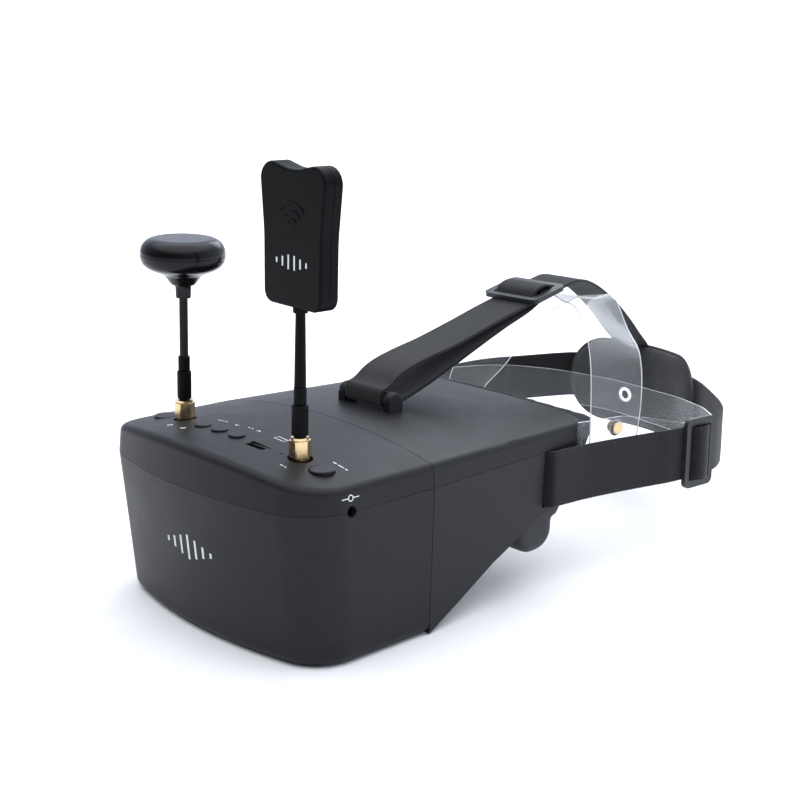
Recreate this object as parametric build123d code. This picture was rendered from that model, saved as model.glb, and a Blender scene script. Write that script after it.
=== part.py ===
from build123d import *
import math
import os

# FPV box goggles with a clear head former, three straps and two antennas.
# Millimetres. X is the wearer's width, -Y is the front face, +Z is up.
# The origin is the centre of the flat underside of the monitor box.

# ---- driving dimensions ----
WIDTH = 145.0            # across the parting line of the box
HEIGHT = 81.7            # underside to the crest of the crowned top
CROWN_DROP = 7.7         # crest to the top of the side walls
PARTING_Z = 64.5         # line between the upper and lower shells
FRONT_Y = -43.0          # middle of the front face, at the parting line
SPLIT_Y = 32.0           # plane between monitor box and visor
REAR_Y = 137.0           # rear corners of the visor
REAR_HALF = 66.0         # half width at the rear corners
WALL = 2.2               # shell thickness
SEAM = 0.15              # half of the gap at a shell joint
FRONT_RADIUS = 219.0     # plan radius of the front face
CORNER = 24.0            # plan radius of the front corners
SIDE_DRAFT = 2.6         # how far the side walls lean in at the underside
FRONT_DRAFT = 6.0        # how far the front leans back at the underside
TOP_DRAFT = 2.0          # how far the walls lean in 20 mm above the parting line
TOP_EDGE = 3.5           # rounding of the upper rim
LOW_EDGE = 5.0           # rounding of the lower rim
VISOR_PITCH = 1.6        # degrees that the visor top falls to the rear
UNDERSIDE = [(32.0, 0.0), (50.0, 9.2), (72.0, 21.0), (102.0, 33.8), (121.0, 40.5), (140.0, 47.0)]
BROW_RADIUS = 156.0      # plan radius of the concave rear edge
BROW_Y = 126.0           # rear edge at the centre line

LEFT_JACK = (-39.8, -12.2)   # coax jack of the mushroom antenna
RIGHT_JACK = (41.2, -12.2)   # coax jack of the patch antenna
DECK_Z = 76.0            # floor of the recess round each jack
MUSHROOM_LEAN = 2.6      # degrees that each stem leans towards +X
PATCH_LEAN = 1.8
BIG_BUTTONS = ((-54.6, -12.6), (55.4, -12.8))
BIG_BUTTON_R = 5.2
SMALL_BUTTON_R = 3.5
SMALL_BUTTON_XS = (-19.2, -7.0, 5.2)
SMALL_BUTTON_Y = -16.9
BUTTON_TRAVEL = 0.8
BUTTON_GAP = 0.25        # radial clearance of a button in its hole
CARD_X = 21.0
CARD_Y = -16.5
CARD_SIZE = (11.0, 1.0, 15.0)
BOARD_TOP = 66.2         # upper face of the button board
BOARD_THICK = 1.2
DC_Y = -12.0             # power jack on the right wall
DC_HOLE_R = 1.85         # for a 3.5 mm coaxial plug
SCREEN_Z = 38.0
SCREEN_SIZE = (118.0, 68.0)
ACTIVE_SIZE = (108.0, 64.0)

NUT_FLAT = 8.0           # hex of the antenna coupling nuts
JACK_R = 3.1             # thread of the coax jack
NUT_BORE_R = 3.15
NUT_LOW_Z = 80.0
NUT_HIGH_Z = 88.0
MUSHROOM_SLEEVES = [(88.6, 101.0, 3.1), (101.1, 107.7, 2.55)]
PATCH_SLEEVES = [(88.6, 101.3, 3.35), (101.4, 108.5, 2.55), (138.0, 140.4, 3.0)]
STEM_R = 1.85

STRAP_THICK = 1.6
STRAP_WIDE = 26.0
SIDE_STRAP_Z = 51.5      # middle of the side straps
SLOT_Y = 106.0           # strap slot in each visor wall
TOP_STRAP_WIDE = 25.0
BAR_Y = 61.0             # bar of the top strap bracket
BAR_Z = 86.2
BAR_R = 2.6
BAND_THICK = 0.8
ARCH_WIDE = 28.0

CROWN_R = ((WIDTH / 2) ** 2 + CROWN_DROP ** 2) / (2 * CROWN_DROP)
FAR = 400.0

os.makedirs("parts", exist_ok=True)


def save(shape, name):
    shape.label = name
    export_step(shape, "parts/" + name + ".step")


def group(solids):
    return Compound(children=list(solids))


def box(x0, x1, y0, y1, z0, z1):
    middle = ((x0 + x1) / 2, (y0 + y1) / 2, (z0 + z1) / 2)
    return Pos(*middle) * Box(x1 - x0, y1 - y0, z1 - z0)


def post(x, y, z0, z1, radius):
    return Pos(x, y, (z0 + z1) / 2) * Cylinder(radius, z1 - z0)


def rod_x(x0, x1, y, z, radius):
    return Pos((x0 + x1) / 2, y, z) * Rot(0, 90, 0) * Cylinder(radius, x1 - x0)


def rod_y(x, y0, y1, z, radius):
    return Pos(x, (y0 + y1) / 2, z) * Rot(90, 0, 0) * Cylinder(radius, y1 - y0)


def hexagon(x, y, z0, z1, flats):
    prism = extrude(RegularPolygon(flats / 2, 6, major_radius=False), z1 - z0)
    return Pos(x, y, z0) * prism


def crown_z(x):
    """Height of the crowned top at a distance x from the centre plane."""
    return HEIGHT - CROWN_R + math.sqrt(CROWN_R ** 2 - x ** 2)


def side_half(y):
    """Half width of the walls at the parting line."""
    if y <= SPLIT_Y:
        return WIDTH / 2
    return WIDTH / 2 - (WIDTH / 2 - REAR_HALF) * (y - SPLIT_Y) / (REAR_Y - SPLIT_Y)


# ---- outer and inner forms of the shells ----

def monitor_outline(z, inset, front_inset):
    half = WIDTH / 2 - inset
    front = FRONT_Y + front_inset
    sagitta = FRONT_RADIUS - math.sqrt(FRONT_RADIUS ** 2 - half ** 2)
    arc = ThreePointArc((-half, front + sagitta), (0, front), (half, front + sagitta))
    back = Polyline((half, front + sagitta), (half, SPLIT_Y), (-half, SPLIT_Y), (-half, front + sagitta))
    face = make_face([arc, back])
    corners = face.vertices().sort_by(Axis.Y)[:2]
    return Pos(0, 0, z) * fillet(corners, CORNER - inset)


def crown_prism(inset, y0, y1):
    """Everything under the crowned top, from y0 to y1."""
    radius = CROWN_R - inset
    half = WIDTH / 2 + 12
    crest = HEIGHT - inset
    low = crest - radius + math.sqrt(radius ** 2 - half ** 2)
    arc = ThreePointArc((-half, low), (0, crest), (half, low))
    rest = Polyline((half, low), (half, -20), (-half, -20), (-half, low))
    face = Plane((0, y0, 0), x_dir=(1, 0, 0), z_dir=(0, -1, 0)) * make_face([arc, rest])
    return extrude(face, -(y1 - y0))


def monitor_form(inset):
    """Solid form of the monitor box, shrunk by inset all round."""
    low = monitor_outline(inset, SIDE_DRAFT + inset, FRONT_DRAFT + inset)
    waist = monitor_outline(PARTING_Z, inset, inset)
    high = monitor_outline(PARTING_Z + 20, TOP_DRAFT + inset, TOP_DRAFT + inset)
    form = loft([low, waist], ruled=True) + loft([waist, high], ruled=True)
    return form & crown_prism(inset, FRONT_Y - 10, SPLIT_Y)


def visor_outline(z, inset):
    near = WIDTH / 2 - inset
    rear = REAR_HALF - inset
    face = make_face(Polyline((-near, SPLIT_Y), (-rear, REAR_Y), (rear, REAR_Y), (near, SPLIT_Y), (-near, SPLIT_Y)))
    corners = face.vertices().sort_by(Axis.Y)[2:]
    return Pos(0, 0, z) * fillet(corners, 9)


def underside_prism(lift):
    """Everything above the sloping underside of the visor."""
    points = [(y, z + lift) for y, z in UNDERSIDE]
    outline = Polyline(*points, (150, 60), (150, 130), (SPLIT_Y, 130), points[0])
    face = Plane((0, 0, 0), x_dir=(0, 1, 0), z_dir=(1, 0, 0)) * make_face(outline)
    return extrude(face, WIDTH, both=True)


def visor_form(inset, lift):
    low = visor_outline(0, SIDE_DRAFT + inset)
    waist = visor_outline(PARTING_Z, inset)
    high = visor_outline(PARTING_Z + 20, TOP_DRAFT + inset)
    form = loft([low, waist], ruled=True) + loft([waist, high], ruled=True)
    hinge = Axis((0, SPLIT_Y, HEIGHT), (1, 0, 0))
    form = form & crown_prism(inset, SPLIT_Y - 20, REAR_Y + 10).rotate(hinge, -VISOR_PITCH)
    return form & underside_prism(lift)


def rim_edges(form, z_low, z_high):
    """Edges of a form's rim, apart from those on the split plane."""
    chosen = []
    for edge in form.edges():
        spot = edge.bounding_box()
        on_split = spot.min.Y > SPLIT_Y - 0.1 and spot.max.Y < SPLIT_Y + 0.1
        if spot.min.Z > z_low and spot.max.Z < z_high and not on_split:
            chosen.append(edge)
    return chosen


def brow_cut():
    """Concave cut for the forehead along the rear edge."""
    return post(0, BROW_Y + BROW_RADIUS, 55, 120, BROW_RADIUS)


# ---- monitor box ----

def monitor_shells():
    form = monitor_form(0)
    form = fillet(rim_edges(form, 70, 90), TOP_EDGE)
    form = fillet(rim_edges(form, -1, 1), LOW_EDGE)
    hollow = monitor_form(WALL)
    form = form & box(-FAR, FAR, -FAR, SPLIT_Y - SEAM, -FAR, FAR)
    shell = form - hollow
    shell = shell - rod_x(WIDTH / 2 - 6, WIDTH / 2 + 6, DC_Y, PARTING_Z, 2.3)
    upper = shell & box(-FAR, FAR, -FAR, FAR, PARTING_Z + SEAM / 2, FAR)
    lower = shell & box(-FAR, FAR, -FAR, FAR, -FAR, PARTING_Z - SEAM / 2)
    core = monitor_form(1.0)
    for x, y in (LEFT_JACK, RIGHT_JACK):
        upper = upper + (post(x, y, DECK_Z - WALL, FAR, 6.6) & core)
        upper = upper - post(x, y, DECK_Z, FAR, 5.2)
        upper = upper - post(x, y, 60, FAR, JACK_R + 0.15)
    for x, y, radius in button_places():
        upper = upper - post(x, y, 60, FAR, radius + BUTTON_GAP)
    card_wide, card_thick, _ = CARD_SIZE
    slot = box(CARD_X - card_wide / 2 - 0.4, CARD_X + card_wide / 2 + 0.4, CARD_Y - 0.9, CARD_Y + 0.9, 60, FAR)
    scoop = Pos(CARD_X, CARD_Y - 1.6, crown_z(CARD_X) + 1.6) * Rot(0, 90, 0) * Cylinder(3.0, card_wide - 1)
    upper = upper - slot - scoop
    upper = upper - post(33.5, -15.5, 60, FAR, 0.6)
    return upper, lower


def button_places():
    places = [(x, y, BIG_BUTTON_R) for x, y in BIG_BUTTONS]
    for x in SMALL_BUTTON_XS:
        places.append((x, SMALL_BUTTON_Y, SMALL_BUTTON_R))
    return places


def flange_top(x, radius):
    """Height of a button's flange, just under the inner face of the shell."""
    return crown_z(abs(x) + radius + 1.0) - WALL - 0.35


def button(x, y, radius):
    top = crown_z(x) + 0.9
    low = flange_top(x, radius)
    cap = post(x, y, low - 1.0, top, radius)
    rim = cap.edges().group_by(Axis.Z)[-1]
    cap = fillet(rim, 0.6)
    return cap + post(x, y, low - 1.0, low, radius + 0.9)


def button_board():
    y0, y1 = -23.0, -4.0
    board = box(-60, 60, y0, y1, BOARD_TOP - BOARD_THICK, BOARD_TOP)
    gap = box(CARD_X - 8.0, CARD_X + 8.0, CARD_Y - 3.0, CARD_Y + 3.0, 60, 70)
    return board - gap


def tact_switches():
    switches = []
    for x, y, radius in button_places():
        top = flange_top(x, radius) - 1.0 - BUTTON_TRAVEL - 0.1
        body = box(x - 3, x + 3, y - 3, y + 3, BOARD_TOP, BOARD_TOP + 1.6)
        switches.append(body + post(x, y, BOARD_TOP, top, 1.6))
    return group(switches)


def memory_card():
    wide, thick, tall = CARD_SIZE
    top = crown_z(CARD_X) - 0.4
    card = box(CARD_X - wide / 2, CARD_X + wide / 2, CARD_Y - thick / 2, CARD_Y + thick / 2, top - tall, top)
    notch = box(CARD_X + wide / 2 - 1.3, FAR, -FAR, FAR, -FAR, top - tall + 6)
    return card - notch


def card_socket():
    wide, thick, tall = CARD_SIZE
    low = crown_z(CARD_X) - 0.4 - tall
    outer = box(CARD_X - 7.2, CARD_X + 7.2, CARD_Y - 1.9, CARD_Y + 1.9, low - 1.2, low + 11.0)
    inner = box(CARD_X - wide / 2 - 0.2, CARD_X + wide / 2 + 0.2, CARD_Y - 0.7, CARD_Y + 0.7, low - 0.3, FAR)
    return outer - inner


def coax_jack(spot):
    """Bulkhead jack: slotted nut in the recess, threaded barrel and a rear body with its flange."""
    ring = post(0, 0, DECK_Z, NUT_LOW_Z - 0.15, 4.0)
    for step in range(8):
        slot = Rot(0, 0, 45 * step) * Pos(4.0, 0, 0) * Box(2.0, 0.9, 2.4)
        ring = ring - Pos(0, 0, NUT_LOW_Z - 1.2) * slot
    barrel = post(0, 0, DECK_Z - WALL - 3.0, NUT_HIGH_Z - 2.6, JACK_R)
    rear = post(0, 0, BOARD_TOP, DECK_Z - WALL - 0.2, 3.9)
    jack = ring + barrel + rear - post(0, 0, NUT_HIGH_Z - 8.0, FAR, 2.3)
    return Pos(spot[0], spot[1], 0) * jack


def power_jack():
    """Socket body behind the right wall with a centre pin in its hole."""
    reach = WIDTH / 2 - WALL - 0.2
    body = rod_x(reach - 9, reach, DC_Y, PARTING_Z, 3.3)
    body = body + box(reach - 13, reach - 6.5, DC_Y - 4, DC_Y + 4, PARTING_Z - 4.5, PARTING_Z + 0.2)
    body = body - rod_x(reach - 9.5, reach + 1, DC_Y, PARTING_Z, DC_HOLE_R)
    return body + rod_x(reach - 11, reach - 1.5, DC_Y, PARTING_Z, 0.65)


def monitor_bezel():
    """Rear frame of the monitor box with the window and the locating lip."""
    plate = monitor_form(WALL + 0.15) & box(-FAR, FAR, SPLIT_Y - 2.8, SPLIT_Y - 0.4, -FAR, FAR)
    wide, tall = SCREEN_SIZE
    low, high = SCREEN_Z - tall / 2, SCREEN_Z + tall / 2
    lip = box(-wide / 2 - 1, wide / 2 + 1, SPLIT_Y - 2, SPLIT_Y + 6, low + 9, high + 0.5)
    lip = lip - box(-wide / 2 + 1, wide / 2 - 1, 0, FAR, 0, high - 1.3)
    window = box(-ACTIVE_SIZE[0] / 2 - 0.5, ACTIVE_SIZE[0] / 2 + 0.5, 0, SPLIT_Y,
                 SCREEN_Z - ACTIVE_SIZE[1] / 2 - 0.5, SCREEN_Z + ACTIVE_SIZE[1] / 2 + 0.5)
    frame = plate + lip - window
    for x in (-65.0, 65.0):
        for z in (12.0, 60.0):
            frame = frame - rod_y(x, 0, FAR, z, 1.3)
    return frame


def bezel_screws():
    screws = []
    for x in (-65.0, 65.0):
        for z in (12.0, 60.0):
            head = rod_y(x, SPLIT_Y - 0.35, SPLIT_Y + 1.0, z, 2.1)
            cross = Box(2.4, 1.0, 0.5) + Box(0.5, 1.0, 2.4)
            screws.append(head + rod_y(x, SPLIT_Y - 9, SPLIT_Y, z, 1.15) - Pos(x, SPLIT_Y + 1.0, z) * cross)
    return group(screws)


def bezel_bosses():
    """Posts in the corners of the box that take the frame's screws."""
    bosses = []
    core = monitor_form(1.0)
    for x in (-65.0, 65.0):
        for z in (12.0, 60.0):
            boss = rod_y(x, SPLIT_Y - 13, SPLIT_Y - 3.0, z, 2.6)
            side = 1 if x > 0 else -1
            rib = box(min(x, x + 6 * side), max(x, x + 6 * side), SPLIT_Y - 13, SPLIT_Y - 3.0, z - 0.8, z + 0.8)
            bosses.append(boss + (rib & core) - rod_y(x, 0, FAR, z, 1.2))
    return bosses


def lcd_panel():
    wide, tall = SCREEN_SIZE
    return box(-wide / 2, wide / 2, SPLIT_Y - 6.2, SPLIT_Y - 3.1, SCREEN_Z - tall / 2, SCREEN_Z + tall / 2)


def main_board():
    board = box(-56, 56, 20.0, 21.6, 6, 60)
    chips = [(-30, 40, 14), (8, 38, 16), (34, 22, 10), (-10, 18, 8)]
    for x, z, side in chips:
        board = board + box(x - side / 2, x + side / 2, 18.6, 20.0, z - side / 2, z + side / 2)
    return board


def receiver_modules():
    """Two shielded video receivers on the front of the main board, one for each antenna."""
    return group([box(x - 14, x + 14, 14.5, 18.5, 25, 56) - box(x - 12, x + 12, 16.0, 18.6, 27, 54) for x in (-41, 41)])


def battery_pack():
    pack = box(-34, 34, -30, -4, 3.2, 46)
    return fillet(pack.edges().filter_by(Axis.X), 5)


# ---- antennas ----

def leaning(shape, spot, degrees):
    """Shape made upright on the Z axis, leant over the top of the nut at the spot."""
    shape = shape.rotate(Axis((0, 0, NUT_HIGH_Z), (0, 1, 0)), degrees)
    return Pos(spot[0], spot[1], 0) * shape


def coupling_nut(spot):
    nut = hexagon(0, 0, NUT_LOW_Z, NUT_HIGH_Z - 1.2, NUT_FLAT)
    nut = nut & post(0, 0, NUT_LOW_Z, NUT_HIGH_Z, 4.45)
    nut = nut + post(0, 0, NUT_HIGH_Z - 1.2, NUT_HIGH_Z, 3.6)
    nut = nut - post(0, 0, 0, NUT_HIGH_Z - 1.9, NUT_BORE_R)
    return Pos(spot[0], spot[1], 0) * (nut - post(0, 0, 0, FAR, 2.4))


def coax_stem(spot, top, degrees):
    """Plug in the nut with its centre contact, and the stem that leans out of it."""
    plug = post(0, 0, NUT_HIGH_Z - 2.2, NUT_HIGH_Z + 0.3, 2.25)
    plug = plug + post(0, 0, NUT_HIGH_Z - 2.5, NUT_HIGH_Z - 2.0, 2.9)
    plug = plug + post(0, 0, NUT_HIGH_Z - 6.0, NUT_HIGH_Z - 2.2, 0.5)
    stem = leaning(post(0, 0, NUT_HIGH_Z - 1.0, top, STEM_R), spot, degrees)
    return Pos(spot[0], spot[1], 0) * plug + stem


def antenna_sleeves(steps):
    """Crimp and shrink sleeves up the stem, then the collar under the head."""
    return group([sleeve(low, high, radius) for low, high, radius in steps])


def sleeve(low, high, radius):
    tube = post(0, 0, low, high, radius)
    tube = fillet(tube.edges().filter_by(GeomType.CIRCLE), 0.5)
    return tube - post(0, 0, 0, FAR, STEM_R + 0.05)


def patch_stem():
    cone = Pos(0, 0, 123.2) * Cone(2.4, 1.98, 29.0)
    return cone - post(0, 0, 0, FAR, STEM_R + 0.05)


def mushroom_cap():
    """Round-rimmed cap in two halves; the lower one draws in to a flared neck and collar."""
    seam_z, top_z, low_z = 152.3, 159.3, 145.2
    reach = 18.1
    crown = Spline((reach, seam_z + 0.1), (reach - 1.5, seam_z + 4.7), (11.0, top_z), tangents=[(0, 1), (-1, 0)])
    upper = Polyline((11.0, top_z), (0, top_z), (0, seam_z + 0.1), (reach, seam_z + 0.1))
    upper_half = revolve(Plane.XZ * make_face([crown, upper]), Axis.Z)
    under = Spline((reach, seam_z - 0.1), (reach - 1.6, seam_z - 4.6), (12.0, low_z), (7.7, 142.8), (4.7, 139.2),
                   (3.3, 134.6), tangents=[(0, -1), (0, -1)])
    neck = Polyline((3.3, 134.6), (3.2, 133.6), (0, 133.6), (0, seam_z - 0.1), (reach, seam_z - 0.1))
    lower_half = revolve(Plane.XZ * make_face([under, neck]), Axis.Z)
    hollow = post(0, 0, seam_z - 4.5, seam_z + 4.5, 13.0)
    bore = post(0, 0, 120, seam_z - 3, STEM_R + 0.05)
    return upper_half - hollow, lower_half - hollow - bore


def lobe_element():
    """Three bent wire lobes of the circularly polarised radiator, sealed in the cap."""
    wheel = Cylinder(2.2, 2.0)
    for step in range(3):
        wheel = wheel + Rot(0, 0, 120 * step) * Pos(5.6, 0, 0) * Torus(4.6, 0.45)
    return Pos(0, 0, 152.4) * wheel


def patch_plate(y0, y1, inset):
    """Slab of the patch antenna's front outline between two depths."""
    low, dip, high = 140.6 + inset, 192.6 - inset, 197.2 - inset
    half_low, half_waist, half_high = 17.4 - inset, 17.6 - inset, 20.6 - inset
    outline = make_face(Polyline((-half_low, low), (half_low, low), (half_waist, 168), (half_high, high), (0, dip),
                                 (-half_high, high), (-half_waist, 168), (-half_low, low)))
    corners = outline.vertices()
    outline = fillet(corners.sort_by(Axis.Y)[:2], 5.0 - inset)
    outline = fillet([v for v in outline.vertices() if abs(v.Y - 168) < 0.1], 60)
    outline = fillet([v for v in outline.vertices() if abs(v.Y - high) < 0.1], 7.0 - inset)
    outline = fillet([v for v in outline.vertices() if abs(v.X) < 0.1], 26)
    face = Plane((0, y0, 0), x_dir=(1, 0, 0), z_dir=(0, -1, 0)) * outline
    return extrude(face, -(y1 - y0))


def patch_shells():
    front_y, seam_y, back_y = -4.6, 0.2, 4.6
    front = patch_plate(front_y, seam_y - 0.1, 0)
    front = fillet(front.faces().sort_by(Axis.Y)[0].edges(), 1.0)
    back = patch_plate(seam_y + 0.1, back_y, 0)
    back = fillet(back.faces().sort_by(Axis.Y)[-1].edges(), 1.0)
    room = patch_plate(front_y + 1.6, back_y - 1.6, 2.4)
    bore = post(0, 0, 120, 146, STEM_R + 0.05)
    return front - room - bore, back - room - bore


def patch_board():
    board = box(-13, 13, 1.0, 2.0, 150, 182)
    patch = box(-9, 9, -1.2, -0.6, 156, 176)
    stand = post(0, 0, 145.2, 160, 0.9)
    spacer = rod_y(0, -0.8, 1.2, 158.5, 1.5)
    return board + patch + stand + spacer


# ---- visor ----

def visor_shells():
    form = visor_form(0, 0)
    form = fillet(rim_edges(form, 66, 90), TOP_EDGE)
    hollow = visor_form(WALL, WALL + 0.5)
    hollow = hollow + visor_inner_front() + visor_inner_rear()
    shell = form - hollow - brow_cut()
    shell = shell & box(-FAR, FAR, SPLIT_Y + SEAM, FAR, -FAR, FAR)
    shell = shell - box(-REAR_HALF + 3.2, REAR_HALF - 3.2, 86, FAR, -FAR, 60)
    for side in (-1, 1):
        x = side * side_half(SLOT_Y)
        z0, z1 = SIDE_STRAP_Z - STRAP_WIDE / 2 - 0.4, PARTING_Z
        shell = shell - box(x - 6, x + 6, SLOT_Y - 1.6, SLOT_Y + 1.6, z0, z1 - SEAM / 2)
    upper = shell & box(-FAR, FAR, -FAR, FAR, PARTING_Z + SEAM / 2, FAR)
    lower = shell & box(-FAR, FAR, -FAR, FAR, -FAR, PARTING_Z - SEAM / 2)
    upper = upper - strap_bracket_holes()
    return upper, lower


def visor_inner_front():
    """Opening of the visor towards the screen."""
    outline = visor_form(WALL, WALL + 0.5) & box(-FAR, FAR, SPLIT_Y - 1, SPLIT_Y + 2, -FAR, FAR)
    return outline.moved(Pos(0, -1.5, 0))


def visor_inner_rear():
    outline = visor_form(WALL, WALL + 0.5) & box(-FAR, FAR, REAR_Y - 12, REAR_Y - 8, -FAR, FAR)
    solid = outline
    for step in range(1, 6):
        solid = solid + outline.moved(Pos(0, 3.0 * step, 0))
    return solid


def strap_bracket_holes():
    return post(-14, BAR_Y, 70, 90, 1.6) + post(14, BAR_Y, 70, 90, 1.6)


def strap_bracket():
    """Raised loop on the visor top: two round ends, a bar between them and a pin under each end."""
    loop = rod_x(-14.5, 14.5, BAR_Y, BAR_Z, BAR_R)
    for side in (-1, 1):
        x0, x1 = sorted((side * 13.2, side * 17.6))
        end = rod_x(x0, x1, BAR_Y, BAR_Z - 1.2, 4.2)
        outer = end.edges().filter_by(GeomType.CIRCLE).sort_by(Axis.X)[-1 if side > 0 else 0]
        end = fillet(outer, 1.4)
        loop = loop + end + box(x0, x1, BAR_Y - 3.9, BAR_Y + 3.9, HEIGHT - 2.0, BAR_Z - 1.6)
    under = crown_prism(0, 0, 90).rotate(Axis((0, SPLIT_Y, HEIGHT), (1, 0, 0)), -VISOR_PITCH)
    loop = loop - under
    return loop + post(-14, BAR_Y, HEIGHT - 5.5, HEIGHT, 1.5) + post(14, BAR_Y, HEIGHT - 5.5, HEIGHT, 1.5)


def lens_frame():
    """Ring that holds the lens inside the visor."""
    y0, y1 = 88.0, 94.0
    ring = visor_form(WALL + 0.3, WALL + 0.8) & box(-FAR, FAR, y0, y1, 34, FAR)
    hole = box(-56, 56, 0, FAR, 41, 67.5)
    seat = box(-59.3, 59.3, y0 + 2, FAR, 38.4, 70.1)
    return ring - fillet(hole.edges().filter_by(Axis.Y), 8) - seat


def fresnel_lens():
    """Flat lens plate with shallow concentric steps on its eye side."""
    lens = box(-59, 59, 90.2, 92.4, 38.7, 69.8)
    for step in range(1, 9):
        radius = 6.2 * step
        ring = rod_y(0, 92.15, 93, 54, radius) - rod_y(0, 92, 93.5, 54, radius - 0.5)
        lens = lens - ring
    return lens


def face_foam():
    """Padded rim round the face opening, with a cheek lobe at each side below the walls."""
    side = [(128, 82), (141, 82), (143.5, 66), (130, 44), (120, 30), (106, 34), (108, 42), (122, 66)]
    face = Plane((0, 0, 0), x_dir=(0, 1, 0), z_dir=(1, 0, 0)) * make_face(Polyline(*side, side[0]))
    slab = extrude(face, REAR_HALF, both=True)
    inner = visor_form(WALL + 0.4, -20)
    beyond = inner & box(-FAR, FAR, 120, 126, -FAR, FAR)
    room = inner
    for step in range(1, 7):
        room = room + beyond.moved(Pos(0, 3.0 * step, 0))
    ring = slab & room
    ring = ring & box(-REAR_HALF + 3.6, REAR_HALF - 3.6, -FAR, FAR, -FAR, FAR)
    cavity = box(-47, 47, 0, FAR, 0, 68)
    ring = ring - fillet(cavity.edges().filter_by(Axis.Y), 12)
    ring = ring - post(0, BROW_Y + BROW_RADIUS + 5, 60, 120, BROW_RADIUS)
    for x in (-52, 52):
        lobe = Pos(x, 107, 28) * Box(19, 23, 26)
        lobe = fillet(lobe.edges().filter_by(Axis.X), 10)
        lobe = fillet(lobe.faces().sort_by(Axis.X)[0].edges() + lobe.faces().sort_by(Axis.X)[-1].edges(), 3)
        ring = ring + lobe
    return ring


# ---- headband ----

RIGHT_STRAP = [(63.2, 106.0), (70.2, 106.6), (71.9, 131.0), (79.2, 166.0), (83.0, 178.0), (85.4, 207.0),
               (79.0, 223.0), (68.0, 238.0), (53.0, 251.5), (38.6, 263.8), (25.25, 273.1)]
LEFT_STRAP = [(-63.2, 106.0), (-70.2, 106.6), (-71.9, 131.0), (-79.2, 166.0), (-84.0, 178.0), (-85.6, 207.0),
              (-83.0, 228.0), (-73.0, 250.0), (-62.8, 276.1), (-45.5, 282.5)]
RIGHT_RADII = (1.4, 14, 40, 20, 12, 20, 20, 30, 40)
LEFT_RADII = (1.4, 14, 40, 20, 20, 20, 30, 8)
BAND = [(67.29, 127.0), (75.6, 168.0), (79.0, 190.0), (79.8, 207.0), (73.0, 223.0), (58.0, 237.0), (34.0, 249.5),
        (-20.0, 260.0), (-56.0, 253.0), (-75.0, 237.0), (-80.5, 219.0), (-80.5, 190.0), (-76.0, 168.0),
        (-69.0, 137.0), (-67.8, 127.0)]
BAND_RADII = (40, 30, 10, 12, 20, 60, 60, 40, 20, 20, 30, 30, 20)
TOP_STRAP = [(149.5, 112.9), (133.0, 107.4), (110.0, 97.9), (88.0, 89.2), (68.0, 82.55), (57.35, 82.55),
             (57.35, 89.85), (62.5, 89.85), (67.0, 94.2), (75.0, 97.6), (86.0, 100.6), (104.0, 104.0),
             (124.0, 109.6), (143.0, 114.6), (184.0, 124.4)]
TOP_RADII = (30, 30, 30, 10, 3.5, 3.5, 2, 4, 8, 20, 30, 30, 30)
TOP_TAIL = [((0, 184.0, 124.4), (1, 0, 0)), ((0, 188.5, 125.47), (1, 0, 0)), ((-1.5, 199.0, 123.6), (1, 0, 0)),
            ((-4.5, 213.0, 118.0), (1, 0, 0)), ((-9.0, 232.0, 107.8), (1, 0, 0)), ((-15.0, 252.0, 95.0), (1, 0, 0)),
            ((-19.5, 266.5, 84.8), (1, 0, 0)), ((-21.8, 275.5, 78.8), (1, 0, 0)), ((-22.2, 277.3, 77.0), (1, 0, 0))]
PAD_CENTRE = (-21.4, 192.3)
PAD_RADIUS = 87.2
PAD_SIZE = (96.0, 9.0, 48.0)
PAD_Z = 52.0
PAD_TURN = -7.8


def ribbon(points, radii, thick, height):
    """Band of one thickness along a rounded plan path, rising from z = 0."""
    return extrude(trace(FilletPolyline(*points, radius=radii), line_width=thick), height)


def side_strap(points, radii):
    low = SIDE_STRAP_Z - STRAP_WIDE / 2
    band = Pos(0, 0, low) * ribbon(points, radii, STRAP_THICK, STRAP_WIDE)
    x = points[0][0]
    hem = box(x - 0.65, x + 0.65, SLOT_Y - 5, SLOT_Y + 1.4, low, low + STRAP_WIDE)
    return band + hem


def top_strap():
    band = Pos(0, 0, -TOP_STRAP_WIDE / 2) * ribbon(TOP_STRAP, TOP_RADII, 1.5, TOP_STRAP_WIDE)
    front = Plane((0, 0, 0), x_dir=(0, 1, 0), z_dir=(1, 0, 0)) * band
    return front + strip(TOP_TAIL, TOP_STRAP_WIDE, 1.5)


def strip(stations, wide, thick):
    """Flat strip lofted through stations, each a place and the direction across the strip there."""
    sections = []
    spots = [Vector(*spot) for spot, _ in stations]
    for index, (_, across) in enumerate(stations):
        before = spots[max(index - 1, 0)]
        after = spots[min(index + 1, len(spots) - 1)]
        along = (after - before).normalized()
        side = Vector(*across)
        side = (side - along * side.dot(along)).normalized()
        sections.append(Plane(origin=spots[index], x_dir=side, z_dir=along) * Rectangle(wide, thick))
    return loft(sections)


def back_pad():
    """Curved cushion behind the head."""
    long, thick, tall = PAD_SIZE
    x, y = PAD_CENTRE
    ring = post(x, y, 20, 85, PAD_RADIUS + thick / 2) - post(x, y, 19, 86, PAD_RADIUS - thick / 2)
    face = Plane((0, 40, PAD_Z), x_dir=(1, 0, 0), z_dir=(0, -1, 0)) * RectangleRounded(long, tall, tall / 2 - 2)
    outline = Pos(x, y, 0) * Rot(0, 0, PAD_TURN) * extrude(face, -80)
    pad = ring & outline
    return fillet(pad.edges(), 2.0)


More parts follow.
